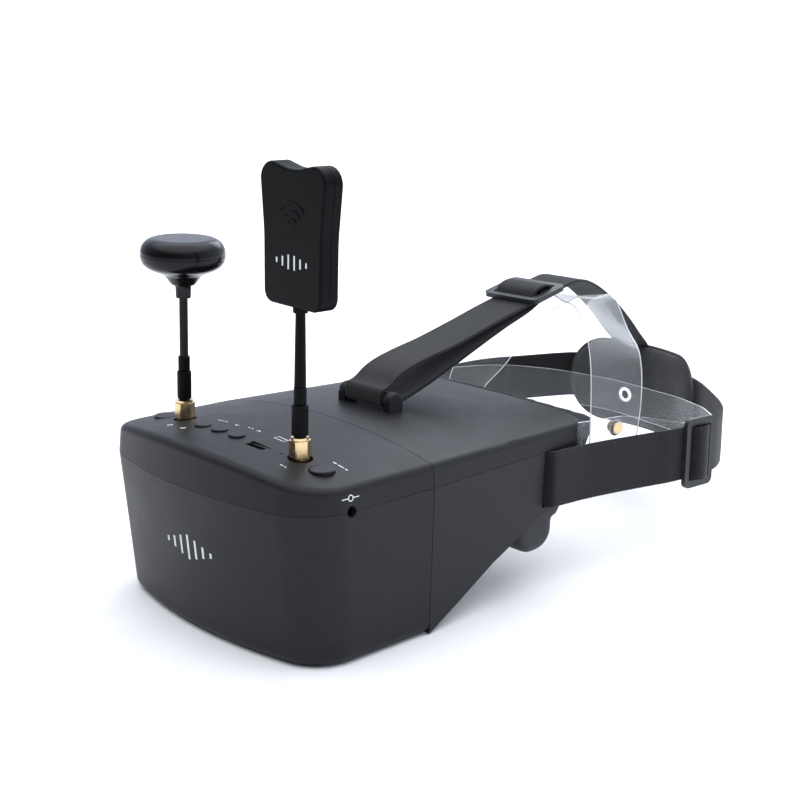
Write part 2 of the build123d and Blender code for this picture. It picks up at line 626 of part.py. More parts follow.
def former_band():
    """Clear strip that stands inside the side straps and runs round the back of the head."""
    band = Pos(0, 0, 40) * ribbon(BAND, BAND_RADII, BAND_THICK, 34)
    profile = Polyline((110, 74), (152, 73.5), (168, 70.5), (190, 64.7), (258, 58), (280, 57), (280, 90), (110, 90),
                       (110, 74))
    trim = Plane((0, 0, 0), x_dir=(0, 1, 0), z_dir=(1, 0, 0)) * make_face(profile)
    band = band - extrude(trim, 120, both=True)
    return band - rivet_holes()


ARCH = [((70.3, 149.1, 42.0), (0.199, 0.98, 0)), ((70.3, 149.1, 54.0), (0.199, 0.98, 0)),
        ((70.3, 149.1, 64.0), (0.199, 0.98, 0)), ((69.6, 150.4, 73.0), (0.21, 0.98, -0.03)),
        ((64.5, 157.0, 87.0), (0.25, 0.95, -0.15)), ((46.5, 174.0, 104.0), (0.28, 0.94, -0.2)),
        ((26.0, 188.0, 112.6), (0.24, 0.95, -0.17)), ((2.0, 200.0, 115.4), (0.2, 0.97, -0.14)),
        ((-24.0, 211.0, 110.8), (0.3, 0.93, -0.2)), ((-49.0, 220.0, 99.0), (0.42, 0.88, -0.2)),
        ((-64.0, 215.0, 82.5), (0.45, 0.87, -0.18)), ((-71.5, 208.5, 68.5), (0.4, 0.88, -0.17)),
        ((-77.4, 204.5, 57.5), (0.15, 0.95, -0.28)), ((-79.0, 202.0, 49.0), (0, 1, -0.25)),
        ((-79.0, 200.5, 42.0), (0, 1, -0.2))]
RIVETS = [((71.01, 148.96, 68.5), -11.5), ((-79.75, 201.5, 48.0), 180.0)]
EYELET = (66.0, 159.0, 80.5)


def former_arch():
    """Clear strip bent over the head from one side of the band to the other."""
    eyelet = Pos(*EYELET) * Rot(0, 60, -15) * Cylinder(2.0, 14)
    return strip(ARCH, ARCH_WIDE, BAND_THICK) - rivet_holes() - eyelet


def rivet(reach, shank, head):
    stem = Rot(0, 90, 0) * Cylinder(shank, 2 * reach)
    cap = Rot(0, 90, 0) * Cylinder(head, 0.5)
    return stem + Pos(reach, 0, 0) * cap + Pos(-reach, 0, 0) * cap


def rivet_holes():
    return group([Pos(*spot) * Rot(0, 0, turn) * Rot(0, 90, 0) * Cylinder(1.8, 8) for spot, turn in RIVETS])


def former_rivets():
    return group([Pos(*spot) * Rot(0, 0, turn) * rivet(2.15, 1.45, 2.8) for spot, turn in RIVETS])


def triglide(long, wide, strap_wide, high):
    """Three bar buckle. Local X runs along the strap, Y across it and Z away from it."""
    window = strap_wide + 1.2
    frame = Pos(0, 0, 1.1) * extrude(RectangleRounded(long, wide, 3.2), high - 1.1)
    frame = frame - Pos(0, 0, 1.1) * extrude(RectangleRounded(long - 5.6, window, 1.0), high)
    return frame + Pos(0, 0, (1.1 + high) / 2) * Box(3.0, window + 0.4, high - 1.1)


def right_buckle():
    frame = triglide(19.5, 34, STRAP_WIDE, 3.4)
    tilt = math.degrees(math.atan2(2.4, 29.0))
    return Pos(84.28, 193.5, SIDE_STRAP_Z) * Rot(0, 0, -tilt) * Rot(0, 0, 90) * Rot(90, 0, 0) * frame


def left_buckle():
    frame = triglide(19.5, 34, STRAP_WIDE, 3.4)
    tilt = math.degrees(math.atan2(1.6, 29.0))
    return Pos(-84.86, 193.5, SIDE_STRAP_Z) * Rot(0, 0, tilt) * Rot(0, 0, 90) * Rot(-90, 0, 0) * frame


def top_buckle():
    frame = triglide(23.0, 35, TOP_STRAP_WIDE, 3.4)
    tilt = math.degrees(math.atan2(9.8, 41.0))
    return Pos(0, 163.5, 119.5) * Rot(tilt, 0, 0) * Rot(0, 0, 90) * frame


def save_all():
    upper, lower = monitor_shells()
    for boss in bezel_bosses():
        lower = lower + boss
    save(upper, "monitor_top_shell")
    save(lower, "monitor_bottom_shell")
    save(monitor_bezel(), "monitor_bezel")
    save(bezel_screws(), "bezel_screws")
    save(lcd_panel(), "lcd_panel")
    save(main_board(), "main_board")
    save(receiver_modules(), "receiver_modules")
    save(battery_pack(), "battery_pack")
    save(button_board(), "button_board")
    save(tact_switches(), "tact_switches")
    save(card_socket(), "card_socket")
    save(memory_card(), "memory_card")
    save(power_jack(), "power_jack")
    names = ["power_button", "search_button", "mode_button", "down_button", "up_button"]
    for name, (x, y, radius) in zip(names, button_places()):
        save(button(x, y, radius), name)
    save(coax_jack(LEFT_JACK), "left_coax_jack")
    save(coax_jack(RIGHT_JACK), "right_coax_jack")

    save(coupling_nut(LEFT_JACK), "mushroom_nut")
    save(coax_stem(LEFT_JACK, 147.0, MUSHROOM_LEAN), "mushroom_stem")
    save(leaning(antenna_sleeves(MUSHROOM_SLEEVES), LEFT_JACK, MUSHROOM_LEAN), "mushroom_sleeves")
    cap_upper, cap_lower = mushroom_cap()
    save(leaning(cap_upper, LEFT_JACK, MUSHROOM_LEAN), "mushroom_cap_upper")
    save(leaning(cap_lower, LEFT_JACK, MUSHROOM_LEAN), "mushroom_cap_lower")
    save(leaning(lobe_element(), LEFT_JACK, MUSHROOM_LEAN), "mushroom_lobes")
    save(coupling_nut(RIGHT_JACK), "patch_nut")
    save(coax_stem(RIGHT_JACK, 145.0, PATCH_LEAN), "patch_core")
    save(leaning(patch_stem(), RIGHT_JACK, PATCH_LEAN), "patch_stem")
    save(leaning(antenna_sleeves(PATCH_SLEEVES), RIGHT_JACK, PATCH_LEAN), "patch_sleeves")
    front, back = patch_shells()
    save(leaning(front, RIGHT_JACK, PATCH_LEAN), "patch_front_shell")
    save(leaning(back, RIGHT_JACK, PATCH_LEAN), "patch_rear_shell")
    save(leaning(patch_board(), RIGHT_JACK, PATCH_LEAN), "patch_board")

    upper, lower = visor_shells()
    save(upper, "visor_top_shell")
    save(lower, "visor_bottom_shell")
    save(strap_bracket(), "strap_bracket")
    save(lens_frame(), "lens_frame")
    save(fresnel_lens(), "fresnel_lens")
    save(face_foam(), "face_foam")
    save(side_strap(RIGHT_STRAP, RIGHT_RADII), "right_strap")
    save(side_strap(LEFT_STRAP, LEFT_RADII), "left_strap")
    save(top_strap(), "top_strap")
    save(back_pad(), "back_pad")
    save(former_band(), "former_band")
    save(former_arch(), "former_arch")
    save(former_rivets(), "former_rivets")
    save(right_buckle(), "right_buckle")
    save(left_buckle(), "left_buckle")
    save(top_buckle(), "top_buckle")


save_all()
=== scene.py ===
import bpy
import bmesh
import math
from mathutils import Matrix, Vector, noise


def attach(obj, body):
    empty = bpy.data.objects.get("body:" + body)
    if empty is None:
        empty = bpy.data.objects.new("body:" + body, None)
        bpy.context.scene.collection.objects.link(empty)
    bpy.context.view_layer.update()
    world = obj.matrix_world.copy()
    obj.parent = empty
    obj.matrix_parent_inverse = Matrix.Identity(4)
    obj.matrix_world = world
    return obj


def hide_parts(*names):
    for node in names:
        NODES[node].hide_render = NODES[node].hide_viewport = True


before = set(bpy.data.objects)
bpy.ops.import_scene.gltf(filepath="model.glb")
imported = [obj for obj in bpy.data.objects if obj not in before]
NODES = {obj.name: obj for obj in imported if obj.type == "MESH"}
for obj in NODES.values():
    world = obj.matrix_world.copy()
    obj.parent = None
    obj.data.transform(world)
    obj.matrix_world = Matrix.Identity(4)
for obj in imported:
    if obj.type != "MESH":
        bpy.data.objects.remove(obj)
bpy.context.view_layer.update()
MM = 0.001


# ---- camera ----

CAMERA_PLACE = Vector((449.58, -334.28, 234.13))
CAMERA_AZIMUTH, CAMERA_PITCH, CAMERA_ROLL = (math.radians(angle) for angle in (47.376, 14.18, 0.173))
CAMERA_LENS = 61.26


def link_object(name, data):
    obj = bpy.data.objects.new(name, data)
    bpy.context.scene.collection.objects.link(obj)
    return obj


def make_camera():
    """A camera that looks along the azimuth, pitched down and slightly rolled."""
    azimuth, pitch, roll = CAMERA_AZIMUTH, CAMERA_PITCH, CAMERA_ROLL
    level = math.cos(pitch)
    forward = Vector((-math.sin(azimuth) * level, math.cos(azimuth) * level, -math.sin(pitch)))
    right = Vector((math.cos(azimuth), math.sin(azimuth), 0))
    up = right.cross(forward)
    right, up = (right * math.cos(roll) + up * math.sin(roll), up * math.cos(roll) - right * math.sin(roll))
    data = bpy.data.cameras.new("camera")
    data.sensor_width = 36.0
    data.lens = CAMERA_LENS
    data.clip_start = 0.01
    cam = link_object("camera", data)
    turn = Matrix((right, up, -forward)).transposed().to_4x4()
    cam.matrix_world = Matrix.Translation(CAMERA_PLACE * MM) @ turn
    bpy.context.scene.camera = cam


make_camera()


# ---- materials ----

class Graph:
    """A node material with a Principled shader and small helpers to wire detail into it."""

    def __init__(self, name):
        self.mat = bpy.data.materials.new(name)
        self.mat.use_nodes = True
        self.tree = self.mat.node_tree
        self.shader = self.tree.nodes["Principled BSDF"]
        self.place = self.add("ShaderNodeTexCoord").outputs["Object"]

    def add(self, kind, **settings):
        node = self.tree.nodes.new(kind)
        for key, value in settings.items():
            setattr(node, key, value)
        return node

    def link(self, a, b):
        self.tree.links.new(a, b)

    def set(self, **values):
        for key, value in values.items():
            self.shader.inputs[key.replace("_", " ")].default_value = value

    def noise(self, scale, detail=3.0, rough=0.6, vector=None):
        node = self.add("ShaderNodeTexNoise")
        node.inputs["Scale"].default_value = scale
        node.inputs["Detail"].default_value = detail
        node.inputs["Roughness"].default_value = rough
        self.link(vector or self.place, node.inputs["Vector"])
        return node.outputs["Fac"]

    def ramp(self, value, stops):
        """Colour along a value, from (position, colour) stops."""
        node = self.add("ShaderNodeValToRGB")
        while len(node.color_ramp.elements) < len(stops):
            node.color_ramp.elements.new(0.5)
        for element, (position, colour) in zip(node.color_ramp.elements, stops):
            element.position = position
            element.color = (*colour, 1)
        self.link(value, node.inputs["Fac"])
        return node.outputs["Color"]

    def span(self, value, low, high, start=0.3, end=0.7):
        """Value from start to end, mapped to low to high."""
        node = self.add("ShaderNodeMapRange")
        node.inputs["From Min"].default_value = start
        node.inputs["From Max"].default_value = end
        node.inputs["To Min"].default_value = low
        node.inputs["To Max"].default_value = high
        self.link(value, node.inputs["Value"])
        return node.outputs["Result"]

    def math(self, operation, a, b=None):
        node = self.add("ShaderNodeMath", operation=operation)
        for slot, value in enumerate((a, b)):
            if value is None:
                continue
            if isinstance(value, (int, float)):
                node.inputs[slot].default_value = value
            else:
                self.link(value, node.inputs[slot])
        return node.outputs["Value"]

    def bump(self, height, distance, strength=1.0, before=None):
        node = self.add("ShaderNodeBump")
        node.inputs["Distance"].default_value = distance
        node.inputs["Strength"].default_value = strength
        self.link(height, node.inputs["Height"])
        if before is not None:
            self.link(before, node.inputs["Normal"])
        return node.outputs["Normal"]

    def colour(self, output):
        self.link(output, self.shader.inputs["Base Color"])

    def mixed(self, a, share_a, b, share_b):
        """Sum of two values, each with its own share."""
        return self.math("ADD", self.math("MULTIPLY", a, share_a), self.math("MULTIPLY", b, share_b))

    def rough(self, output):
        self.link(output, self.shader.inputs["Roughness"])

    def normal(self, output):
        self.link(output, self.shader.inputs["Normal"])


def shade(colour, factor):
    return tuple(min(c * factor, 1) for c in colour)


def plastic(name, colour, rough, grain=0.35, depth=0.00003, specular=0.5, spread=0.06):
    """Moulded plastic: fine spark grain, cloudy gloss and a little handling wear."""
    g = Graph(name)
    cloud = g.noise(55, 5)
    g.colour(g.ramp(cloud, [(0.3, shade(colour, 0.82)), (0.55, colour), (0.8, shade(colour, 1.2))]))
    scuffs = g.noise(420, 6, 0.75)
    g.rough(g.span(g.mixed(cloud, 0.6, scuffs, 0.4), rough - spread, rough + spread))
    fine = g.noise(3800, 2, 0.5)
    coarse = g.noise(1500, 2, 0.5)
    g.normal(g.bump(fine, depth, grain, g.bump(coarse, depth, grain * 0.6)))
    g.set(Specular_IOR_Level=specular)
    return g.mat


def metal(name, colour, rough, depth=0.00001):
    """Plated or rolled metal: slow tarnish, fine turning lines."""
    g = Graph(name)
    g.set(Metallic=1.0)
    patch = g.noise(260, 3)
    g.colour(g.ramp(patch, [(0.25, shade(colour, 0.82)), (0.6, colour), (0.85, shade(colour, 1.1))]))
    g.rough(g.span(patch, rough - 0.04, rough + 0.06))
    stretch = g.add("ShaderNodeMapping")
    stretch.inputs["Scale"].default_value = (1, 1, 14)
    g.link(g.place, stretch.inputs["Vector"])
    g.normal(g.bump(g.noise(500, 2, 0.5, stretch.outputs["Vector"]), depth, 0.3))
    return g.mat


WEAVE_PITCH = 0.9
SELVEDGE_START = 11.3
SELVEDGE_PITCH = 2.1


def webbing(name, colour):
    """Woven elastic: ribs along the length, picks across it, stray fibres and a bound edge."""
    g = Graph(name)
    cloth = g.add("ShaderNodeAttribute", attribute_name="cloth")
    parts = g.add("ShaderNodeSeparateXYZ")
    g.link(cloth.outputs["Vector"], parts.inputs["Vector"])
    turn = 2 * math.pi / (WEAVE_PITCH * MM)
    ribs = g.math("SINE", g.math("MULTIPLY", parts.outputs["Y"], turn))
    picks = g.math("SINE", g.math("MULTIPLY", parts.outputs["X"], turn * 0.75))
    weave = g.math("MULTIPLY", ribs, picks)
    weave = g.math("ADD", g.math("MULTIPLY", weave, 0.5), 0.5)
    fuzz = g.noise(1600, 6, 0.8)
    cloud = g.noise(90, 4)
    mixed = g.math("ADD", g.math("MULTIPLY", weave, 0.35), g.mixed(fuzz, 0.35, cloud, 0.3))
    g.colour(g.ramp(mixed, [(0.25, shade(colour, 0.5)), (0.5, colour), (0.72, shade(colour, 1.9))]))
    g.rough(g.span(fuzz, 0.78, 0.95))
    selvedge = g.math("GREATER_THAN", g.math("ABSOLUTE", parts.outputs["Y"]), SELVEDGE_START * MM)
    waves = g.math("SINE", g.math("MULTIPLY", parts.outputs["X"], 2 * math.pi / (SELVEDGE_PITCH * MM)))
    threads = g.math("MULTIPLY", g.math("GREATER_THAN", waves, 0.1), 1.6)
    relief = g.math("ADD", weave, g.math("MULTIPLY", selvedge, g.math("SUBTRACT", threads, 1.2)))
    g.normal(g.bump(relief, 0.00016, 0.9, g.bump(fuzz, 0.0001, 0.6)))
    g.set(Sheen_Weight=0.22, Sheen_Roughness=0.5, Specular_IOR_Level=0.25)
    return g.mat


def fabric(name, colour, scale=1.0):
    """Knitted cover cloth over foam."""
    g = Graph(name)
    cells = g.add("ShaderNodeTexVoronoi")
    cells.inputs["Scale"].default_value = 1150 / scale
    g.link(g.place, cells.inputs["Vector"])
    cloud = g.noise(70, 4)
    fuzz = g.noise(2600, 4, 0.75)
    mixed = g.mixed(cloud, 0.5, fuzz, 0.5)
    g.colour(g.ramp(mixed, [(0.3, shade(colour, 0.65)), (0.52, colour), (0.75, shade(colour, 1.45))]))
    g.rough(g.span(fuzz, 0.72, 0.92))
    g.normal(g.bump(cells.outputs["Distance"], 0.00018, 0.55, g.bump(cloud, 0.0004, 0.35)))
    g.set(Sheen_Weight=0.15, Sheen_Roughness=0.5, Specular_IOR_Level=0.3)
    return g.mat


def clear(name):
    """Thin clear sheet: see-through face on; at a slant its pale base colour grows more opaque, a painted
    reflection of the bright room; with faint scuffs.
    """
    g = Graph(name)
    g.set(Base_Color=(0.72, 0.75, 0.77, 1), IOR=1.5, Roughness=0.07, Specular_IOR_Level=1.0)
    slant = g.add("ShaderNodeLayerWeight")
    scuffs = g.noise(160, 6, 0.7)
    # painted reflection: opacity of the pale base colour rises at a slant in place of the sheet's stronger
    # reflection there; scuff noise adds a little real haze
    painted_reflection_and_scuffs = g.math("ADD", g.span(slant.outputs["Facing"], 0.04, 0.34, 0.35, 0.97), g.span(scuffs, 0.0, 0.03))
    g.link(painted_reflection_and_scuffs, g.shader.inputs["Alpha"])
    g.normal(g.bump(g.noise(38, 2), 0.0003, 0.15))
    return g.mat


def sawn_edge_with_painted_glow(name):
    """Bright sawn edge of a clear sheet: pale mottled colour, plus a painted glow, a faint white emission
    that stands in for the light the edge catches.
    """
    g = Graph(name)
    mottle = g.noise(600, 4)
    g.colour(g.ramp(mottle, [(0.3, (0.5, 0.52, 0.54)), (0.45, (0.85, 0.87, 0.88)), (0.7, (1, 1, 1))]))
    g.rough(g.span(mottle, 0.1, 0.3))
    # painted glow: a faint white emission makes the edge look lit, as if it caught the light
    g.set(Emission_Color=(1, 1, 1, 1), Emission_Strength=0.08)
    return g.mat


def paint(name, colour):
    """Printed ink, a little worn."""
    g = Graph(name)
    worn = g.noise(1800, 5)
    g.colour(g.ramp(worn, [(0.15, shade(colour, 0.7)), (0.4, colour), (0.9, colour)]))
    g.rough(g.span(worn, 0.4, 0.6))
    g.normal(g.bump(worn, 0.00001, 0.5))
    return g.mat


CHARCOAL = (0.0132, 0.0136, 0.0148)
M = {
    "shell": plastic("shell_plastic", CHARCOAL, 0.45, 0.45, specular=0.21),
    "button": plastic("button_plastic", (0.011, 0.0115, 0.0125), 0.42, 0.35, specular=0.22),
    "buckle": plastic("buckle_plastic", (0.020, 0.021, 0.023), 0.36, 0.3, specular=0.4),
    "gloss": plastic("gloss_black", (0.0035, 0.0035, 0.004), 0.22, 0.05, specular=0.24, spread=0.04),
    "antenna": plastic("antenna_black", (0.0022, 0.0022, 0.0026), 0.46, 0.5, specular=0.09),
    "jacket": plastic("coax_jacket", (0.005, 0.005, 0.0055), 0.5, 0.3, specular=0.25),
    "gold": metal("gold_plate", (0.80, 0.60, 0.33), 0.2, 0.000004),
    "brass": metal("rivet_brass", (0.72, 0.56, 0.34), 0.3),
    "tin": metal("tin_plate", (0.62, 0.62, 0.63), 0.34),
    "foil": metal("cell_foil", (0.55, 0.56, 0.58), 0.4),
    "board": plastic("solder_mask", (0.01, 0.09, 0.035), 0.35, 0.3),
    "lcd": plastic("panel_glass", (0.006, 0.007, 0.01), 0.12, 0.05, spread=0.03),
    "web": webbing("strap_webbing", (0.0048, 0.0048, 0.0055)),
    "pad": fabric("cushion_cloth", (0.05, 0.05, 0.053)),
    "foam": fabric("foam_cloth", (0.045, 0.0455, 0.049), 1.3),
    "clear": clear("clear_sheet"),
    # the edge material carries a painted glow, a faint white emission
    "edge": sawn_edge_with_painted_glow("clear_edge_painted_glow"),
    "white": paint("white_print", (0.72, 0.73, 0.74)),
    "grey": metal("washer_grey", (0.42, 0.43, 0.45), 0.38),
}


def dress(material, *names):
    for name in names:
        data = NODES[name].data
        data.materials.clear()
        data.materials.append(M[material])


dress("shell", "monitor_top_shell", "monitor_bottom_shell", "visor_top_shell", "visor_bottom_shell",
      "strap_bracket", "monitor_bezel", "lens_frame")
dress("button", "power_button", "search_button", "mode_button", "down_button", "up_button", "tact_switches",
      "memory_card")
dress("buckle", "right_buckle", "left_buckle", "top_buckle")
dress("gloss", "mushroom_cap_lower", "mushroom_cap_upper", "power_jack")
dress("antenna", "patch_front_shell", "patch_rear_shell", "patch_stem", "mushroom_sleeves", "patch_sleeves")
dress("jacket", "mushroom_stem", "patch_core")
dress("gold", "left_coax_jack", "right_coax_jack", "mushroom_nut", "patch_nut", "mushroom_lobes")
dress("brass", "former_rivets")
dress("board", "main_board", "button_board", "patch_board")
dress("tin", "receiver_modules", "card_socket", "bezel_screws")
dress("foil", "battery_pack")
dress("lcd", "lcd_panel")
dress("clear", "fresnel_lens")


# ---- mesh helpers ----

def add_mesh(name, mesh, material, body, smooth=True):
    mesh.materials.append(M[material])
    obj = link_object(name, mesh)
    for poly in mesh.polygons:
        poly.use_smooth = smooth
    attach(obj, body)
    return obj


def from_lists(name, verts, faces, material, body):
    """Object from vertices in millimetres and faces."""
    mesh = bpy.data.meshes.new(name)
    mesh.from_pydata([Vector(v) * MM for v in verts], [], faces)
    mesh.validate()
    mesh.update()
    return add_mesh(name, mesh, material, body)


def from_bmesh(name, bm, material, body, smooth=True):
    mesh = bpy.data.meshes.new(name)
    bmesh.ops.recalc_face_normals(bm, faces=bm.faces)
    bm.to_mesh(mesh)
    bm.free()
    return add_mesh(name, mesh, material, body, smooth)


def loop_faces(rows, sides):
    """Quads of a closed ring of rows, each a closed loop of sides."""
    faces = []
    for i in range(rows):
        for k in range(sides):
            j, m = (i + 1) % rows, (k + 1) % sides
            faces.append((i * sides + k, i * sides + m, j * sides + m, j * sides + k))
    return faces


def chaikin(points, rounds=4):
    """Corner cutting, which turns a run of control points into a smooth line inside its corners."""
    points = [Vector(p) for p in points]
    for _ in range(rounds):
        cut = [points[0]]
        for a, b in zip(points, points[1:]):
            cut.append(a.lerp(b, 0.25))
            cut.append(a.lerp(b, 0.75))
        cut.append(points[-1])
        points = cut
    return points


def spaced(points, count):
    """The same line in count steps of equal length."""
    lengths = [0.0]
    for a, b in zip(points, points[1:]):
        lengths.append(lengths[-1] + (b - a).length)
    out, j = [], 0
    for i in range(count + 1):
        s = lengths[-1] * i / count
        while j < len(lengths) - 2 and lengths[j + 1] < s:
            j += 1
        gap = max(lengths[j + 1] - lengths[j], 1e-9)
        out.append(points[j].lerp(points[j + 1], (s - lengths[j]) / gap))
    return out


def smooth_line(points, step):
    """A smooth line through the control points' corners, with points about a step apart."""
    line = chaikin(points)
    total = sum((b - a).length for a, b in zip(line, line[1:]))
    return spaced(line, max(2, int(round(total / step))))


def line_frames(points, across):
    """Point, width direction and normal along a line. across is roughly the width direction."""
    frames = []
    for i, p in enumerate(points):
        tangent = (points[min(i + 1, len(points) - 1)] - points[max(i - 1, 0)]).normalized()
        wide = (across - tangent * across.dot(tangent)).normalized()
        frames.append((p, wide, wide.cross(tangent).normalized()))
    return frames


def strap_section(width, thick):
    """Cross-section of a strap: flat faces, with rounded and slightly beaded edges."""
    w, t = width / 2, thick / 2
    half = [(-w, 0), (-w + 0.12, t * 0.75), (-w + 0.5, t * 1.04), (-w + 1.0, t), (-w * 0.66, t),
            (-w * 0.33, t), (0, t), (w * 0.33, t), (w * 0.66, t),
            (w - 1.0, t), (w - 0.5, t * 1.04), (w - 0.12, t * 0.75), (w, 0)]
    return half + [(a, -b) for a, b in reversed(half[1:-1])]


def sweep(name, points, across, section, material, body, wobble, seed):
    """A closed strip of the section along the points. The attribute cloth keeps its length and width."""
    frames = line_frames(points, across)
    verts, cloth, faces = [], [], []
    run = 0.0
    for i, (p, wide, normal) in enumerate(frames):
        if i:
            run += (points[i] - points[i - 1]).length
        sway = wobble * 0.5 * noise.noise(Vector((run * 0.04 + seed, 7.7, 1.3)))
        for a, b in section:
            shift = wobble * noise.noise(Vector((run * 0.05 + seed, a * 0.08, 3.1)))
            verts.append(p + wide * (a + sway) + normal * (b + shift))
            cloth.append((run * MM, a * MM, 0.0))
    n = len(section)
    for i in range(len(frames) - 1):
        for j in range(n):
            k = (j + 1) % n
            faces.append((i * n + j, i * n + k, (i + 1) * n + k, (i + 1) * n + j))
    faces.append(tuple(range(n)))
    faces.append(tuple((len(frames) - 1) * n + j for j in reversed(range(n))))
    obj = from_lists(name, verts, faces, material, body)
    flip = bmesh.new()
    flip.from_mesh(obj.data)
    bmesh.ops.recalc_face_normals(flip, faces=flip.faces)
    flip.to_mesh(obj.data)
    flip.free()
    layer = obj.data.attributes.new("cloth", "FLOAT_VECTOR", "POINT")
    for item, value in zip(layer.data, cloth):
        item.vector = value
    return obj, run


# ---- side straps ----

SIDE_Z = 51.5
SIDE_WIDTH, SIDE_THICK = 26.0, 1.5
TOP_WIDTH, TOP_THICK = 25.0, 1.4
FRONT_RUN = [(63.2, 101.5), (63.2, 105.6), (63.6, 106.2), (66.5, 106.3), (69.2, 106.6), (70.0, 108.0),
             (70.6, 118.0), (71.9, 131.0), (79.2, 166.0)]
RIGHT_STRAP = FRONT_RUN + [(83.0, 178.0), (85.4, 207.0), (79.0, 223.0), (68.0, 238.0), (53.0, 251.5),
                           (38.6, 263.8), (32.0, 268.8), (25.25, 273.1)]
LEFT_STRAP = [(-x, y) for x, y in FRONT_RUN]
LEFT_STRAP += [(-84.0, 178.0), (-85.6, 207.0), (-83.0, 228.0), (-73.0, 250.0), (-64.6, 271.0),
               (-60.5, 276.6), (-54.0, 279.6), (-45.5, 282.5)]


def side_strap(name, plan, node):
    line = smooth_line([(x, y, SIDE_Z) for x, y in plan], 1.6)
    section = strap_section(SIDE_WIDTH, SIDE_THICK)
    obj, run = sweep(name, line, Vector((0, 0, 1)), section, "web", "visor", 0.16, len(name))
    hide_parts(node)


side_strap("right_strap_web", RIGHT_STRAP, "right_strap")
side_strap("left_strap_web", LEFT_STRAP, "left_strap")


# ---- top strap: upright at x = 0 as far as the arch, then aslant down to the cushion ----

TOP_LINE = [(0, 160.6, 117.7), (0, 155, 114.9), (0, 149.5, 112.7), (0, 133.0, 107.3),
            (0, 110.0, 97.9), (0, 88.0, 89.2), (0, 68.0, 82.6), (0, 60.0, 82.5),
            (0, 57.4, 82.6), (0, 57.2, 86.2), (0, 57.4, 89.8), (0, 60.0, 90.0),
            (0, 63.5, 91.4), (0, 68.0, 95.0), (0, 76.0, 98.2), (0, 88.0, 101.0),
            (0, 104.0, 104.0), (0, 124.0, 109.4), (0, 143.0, 114.6), (0, 163.5, 119.5),
            (0, 176.0, 122.5), (0, 184.0, 124.3), (-0.4, 190.0, 125.2), (-1.5, 199.0, 123.8),
            (-4.5, 213.0, 118.2), (-9.0, 232.0, 107.9), (-15.0, 252.0, 95.0), (-19.5, 266.5, 84.8),
            (-21.6, 274.6, 79.4), (-22.2, 277.6, 77.0), (-22.3, 279.0, 75.2), (-22.3, 279.3, 73.4)]


def top_strap():
    line = smooth_line(TOP_LINE, 1.4)
    section = strap_section(TOP_WIDTH, TOP_THICK)
    obj, run = sweep("top_strap_web", line, Vector((1, 0, 0)), section, "web", "visor", 0.12, 4.0)
    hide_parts("top_strap")


top_strap()


TURN_THICK = 1.2


def buckle_turn(name, place, along, away, width, half_long):
    """The turn of webbing over a buckle's middle bar, which slides with the buckle."""
    place, along, away = Vector(place), Vector(along).normalized(), Vector(away).normalized()
    across = along.cross(away).normalized()
    h = half_long
    path = [(-h, 1.75), (-h + 0.7, 2.0), (-h * 0.62, 5.0), (0, 5.9),
            (h * 0.62, 5.0), (h - 0.7, 2.0), (h, 1.75)]
    line = smooth_line([place + along * a + away * b for a, b in path], 0.7)
    section = strap_section(width, TURN_THICK)
    obj, run = sweep(name + "_turn", line, across, section, "web", name, 0.06, half_long)


buckle_turn("top_buckle", (0, 163.5, 119.5), (0, 41.0, 9.8), (0, -9.8, 41.0), 25.2, 8.1)
buckle_turn("right_buckle", (84.28, 193.5, SIDE_Z), (2.4, 29.0, 0), (29.0, -2.4, 0), 26.2, 6.4)
buckle_turn("left_buckle", (-84.86, 193.5, SIDE_Z), (-1.6, 29.0, 0), (-29.0, -1.6, 0), 26.2, 6.4)


def soften(width, *names):
    """Moulded edges are never knife sharp."""
    for name in names:
        bevel = NODES[name].modifiers.new("soft_edges", "BEVEL")
        bevel.width = width * MM
        bevel.segments = 3
        bevel.limit_method = "ANGLE"
        bevel.angle_limit = math.radians(50)
        bevel.harden_normals = False


soften(0.55, "top_buckle", "right_buckle", "left_buckle")
soften(0.7, "strap_bracket")


# ---- cushions ----

PAD_CENTRE = Vector((-21.4, 192.3, 52.0))
PAD_RADIUS = 87.2
PAD_TURN = math.radians(-7.8)
PAD_HALF_LONG, PAD_HALF_TALL, PAD_CORNER = 49.6, 23.6, 21.0
PAD_HALF_THICK = 4.25
RIM_POINTS = 168
PAD_RINGS = 26
PIPING_RADIUS = 0.75


def on_pad(a, z, out):
    """Point of the cushion's curved middle surface: a along the arc, z up, out away from the head."""
    angle = a / PAD_RADIUS
    x, y = (PAD_RADIUS + out) * math.sin(angle), (PAD_RADIUS + out) * math.cos(angle)
    c, s = math.cos(PAD_TURN), math.sin(PAD_TURN)
    return PAD_CENTRE + Vector((x * c - y * s, x * s + y * c, z))


def rounded_rim(half_long, half_tall, radius, count):
    """Points a fixed step apart round a rectangle with round corners."""
    corners = []
    for sx, sz, start in ((1, 1, 0), (-1, 1, 90), (-1, -1, 180), (1, -1, 270)):
        for step in range(13):
            turn = math.radians(start + 90 * step / 12)
            corners.append(Vector((sx * (half_long - radius) + radius * math.cos(turn),
                                   sz * (half_tall - radius) + radius * math.sin(turn), 0)))
    corners.append(corners[0].copy())
    return spaced(corners, count)[:-1]


def tube(name, points, radius, material, body, sides=10):
    """Round cord of piping along a closed line."""
    count = len(points)
    verts = []
    for i, p in enumerate(points):
        tangent = (points[(i + 1) % count] - points[(i - 1) % count]).normalized()
        side = tangent.cross(Vector((0.13, 0.21, 0.97))).normalized()
        other = tangent.cross(side)
        for k in range(sides):
            turn = 2 * math.pi * k / sides
            verts.append(p + (side * math.cos(turn) + other * math.sin(turn)) * radius)
    return from_lists(name, verts, loop_faces(count, sides), material, body)


